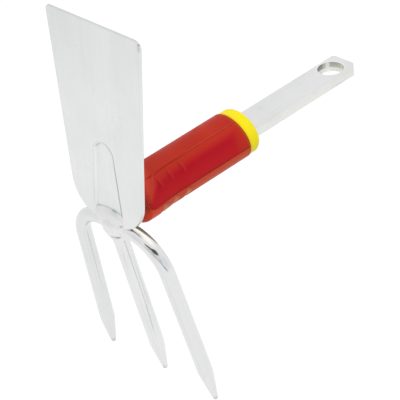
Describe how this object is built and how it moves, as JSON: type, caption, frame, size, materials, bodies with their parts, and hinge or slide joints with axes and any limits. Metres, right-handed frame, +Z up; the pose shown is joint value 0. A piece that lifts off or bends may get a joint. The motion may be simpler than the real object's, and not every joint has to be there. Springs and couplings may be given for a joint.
{
  "type": "garden hand tool head",
  "caption": "Click-in head for a garden hand tool: a flat steel hoe blade on one side, pointed round tines on the other, and a flat tang with a plastic sleeve and a locking hole.",
  "frame": {"origin": "centre of the tang's locking hole, half way through the bar", "axes": "+X along the tang away from the head, +Z up to the blade's cutting edge, Y across the blade; the part is symmetric about the XZ plane"},
  "size_m": [0.2207, 0.1037, 0.2686],
  "materials": {
    "blade_steel": "bright zinc plate, satin",
    "rod_steel": "bright zinc plate, smooth",
    "weld_bead": "plated weld bead",
    "red_plastic": "moulded, half gloss",
    "deep_red_plastic": "moulded, fine grain",
    "yellow_plastic": "moulded, half gloss"
  },
  "bodies": {
    "root": {"hoe_blade": "blade_steel", "tang_bar": "rod_steel", "tine_bow": "rod_steel", "middle_tine": "rod_steel", "grip_sleeve": "red_plastic", "grip_panel_near": "deep_red_plastic", "grip_panel_far": "deep_red_plastic", "collar": "yellow_plastic", "front_weld": "weld_bead", "tine_weld": "weld_bead", "bar_top_weld": "weld_bead", "bar_under_weld": "weld_bead"}
  },
  "joints": []
}
